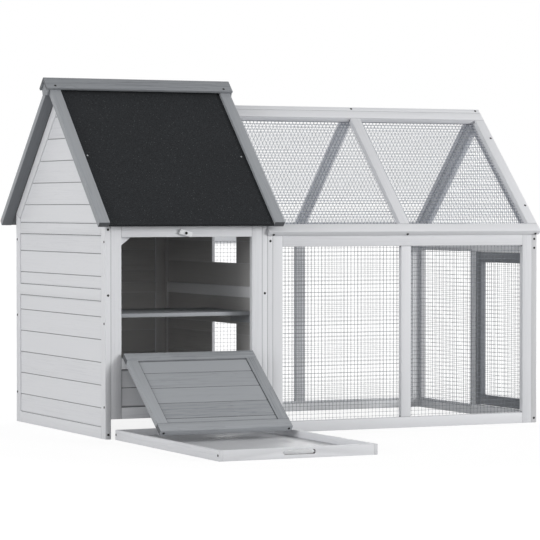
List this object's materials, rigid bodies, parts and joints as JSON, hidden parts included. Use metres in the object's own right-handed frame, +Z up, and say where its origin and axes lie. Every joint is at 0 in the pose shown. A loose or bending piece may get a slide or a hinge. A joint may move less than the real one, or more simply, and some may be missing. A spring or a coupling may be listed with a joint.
{
  "type": "small animal hutch",
  "caption": "Gabled plank house with a felt roof, drop-down ramp door and pull-out tray, joined to a wire-mesh run with a side door.",
  "frame": {"origin": "on the floor, under the middle of the whole hutch with the ramp down and the tray drawn out", "axes": "+Z up, +Y from the front to the back, +X from the house to the run"},
  "size_m": [1.5598, 1.5968, 1.0983],
  "materials": {
    "white_paint": "thin white wash paint, matt, grain just visible",
    "grey_paint": "mid-grey paint, matt, grain visible",
    "roof_felt": "near-black mineral felt, fine speckle",
    "deck_board": "thin board, painted grey below",
    "galvanised_wire": "dull galvanised wire",
    "zinc_steel": "zinc-plated steel",
    "tray_sheet": "pale grey sheet, smooth"
  },
  "bodies": {
    "hutch": {"left_wall_stiles": "white_paint", "left_wall_rails": "white_paint", "left_wall_rafters": "white_paint", "left_wall_boards": "white_paint", "partition_stiles": "white_paint", "partition_rails": "white_paint", "partition_rafters": "white_paint", "partition_boards": "white_paint", "house_front_stiles": "white_paint", "house_front_rails": "white_paint", "house_front_boards": "white_paint", "corner_brace": "white_paint", "house_back_stiles": "white_paint", "house_back_rails": "white_paint", "house_back_boards": "white_paint", "shelf_panel": "grey_paint", "shelf_cleats": "white_paint", "roof_deck": "deck_board", "roof_felt": "roof_felt", "rake_strips": "grey_paint", "ridge_cap": "grey_paint", "ridge_end_plates": "grey_paint", "sill_hinge_leaves": "zinc_steel", "ramp_hinge_pins": "zinc_steel", "front_button_screw": "zinc_steel", "run_left_posts": "white_paint", "run_front_stiles": "white_paint", "run_front_rails": "white_paint", "run_front_mesh": "galvanised_wire", "run_back_stiles": "white_paint", "run_back_rails": "white_paint", "run_back_mesh": "galvanised_wire", "run_end_stiles": "white_paint", "run_end_rails": "white_paint", "run_end_rafters": "white_paint", "run_end_mesh": "galvanised_wire", "run_gable_mesh": "galvanised_wire", "run_roof_rails": "white_paint", "run_roof_rafters": "white_paint", "run_roof_front_mesh": "galvanised_wire", "run_roof_back_mesh": "galvanised_wire", "post_hinge_leaves": "zinc_steel", "run_door_hinge_pins": "zinc_steel", "run_button_screw": "zinc_steel"},
    "ramp_door": {"ramp_stiles": "grey_paint", "ramp_rails": "grey_paint", "ramp_boards": "grey_paint", "ramp_hinge_leaves": "zinc_steel"},
    "front_button": {"front_turn_button": "white_paint"},
    "tray": {"tray_front": "white_paint", "tray_back": "white_paint", "tray_sides": "white_paint", "tray_floor": "tray_sheet"},
    "run_door": {"run_door_stiles": "grey_paint", "run_door_rails": "grey_paint", "run_door_mesh": "galvanised_wire", "run_door_hinge_leaves": "zinc_steel"},
    "run_button": {"run_turn_button": "white_paint"}
  },
  "joints": [
    {"name": "ramp_hinge", "type": "hinge", "parent": "hutch", "child": "ramp_door", "pos_m": [-0.46035, -0.02419, 0.2455], "axis": [-1, 0, 0], "range_deg": [0, 126.81]},
    {"name": "front_button_turn", "type": "hinge", "parent": "hutch", "child": "front_button", "pos_m": [-0.46835, -0.02544, 0.6165], "axis": [0, 1, 0], "continuous": true},
    {"name": "tray_slide", "type": "slide", "parent": "hutch", "child": "tray", "axis": [0, 1, 0], "range_m": [0, 0.773]},
    {"name": "run_door_hinge", "type": "hinge", "parent": "hutch", "child": "run_door", "pos_m": [0.77065, 0.33606, 0.2915], "axis": [0, 0, 1], "range_deg": [0, 170]},
    {"name": "run_button_turn", "type": "hinge", "parent": "hutch", "child": "run_button", "pos_m": [0.76865, -0.00144, 0.355], "axis": [1, 0, 0], "continuous": true}
  ]
}
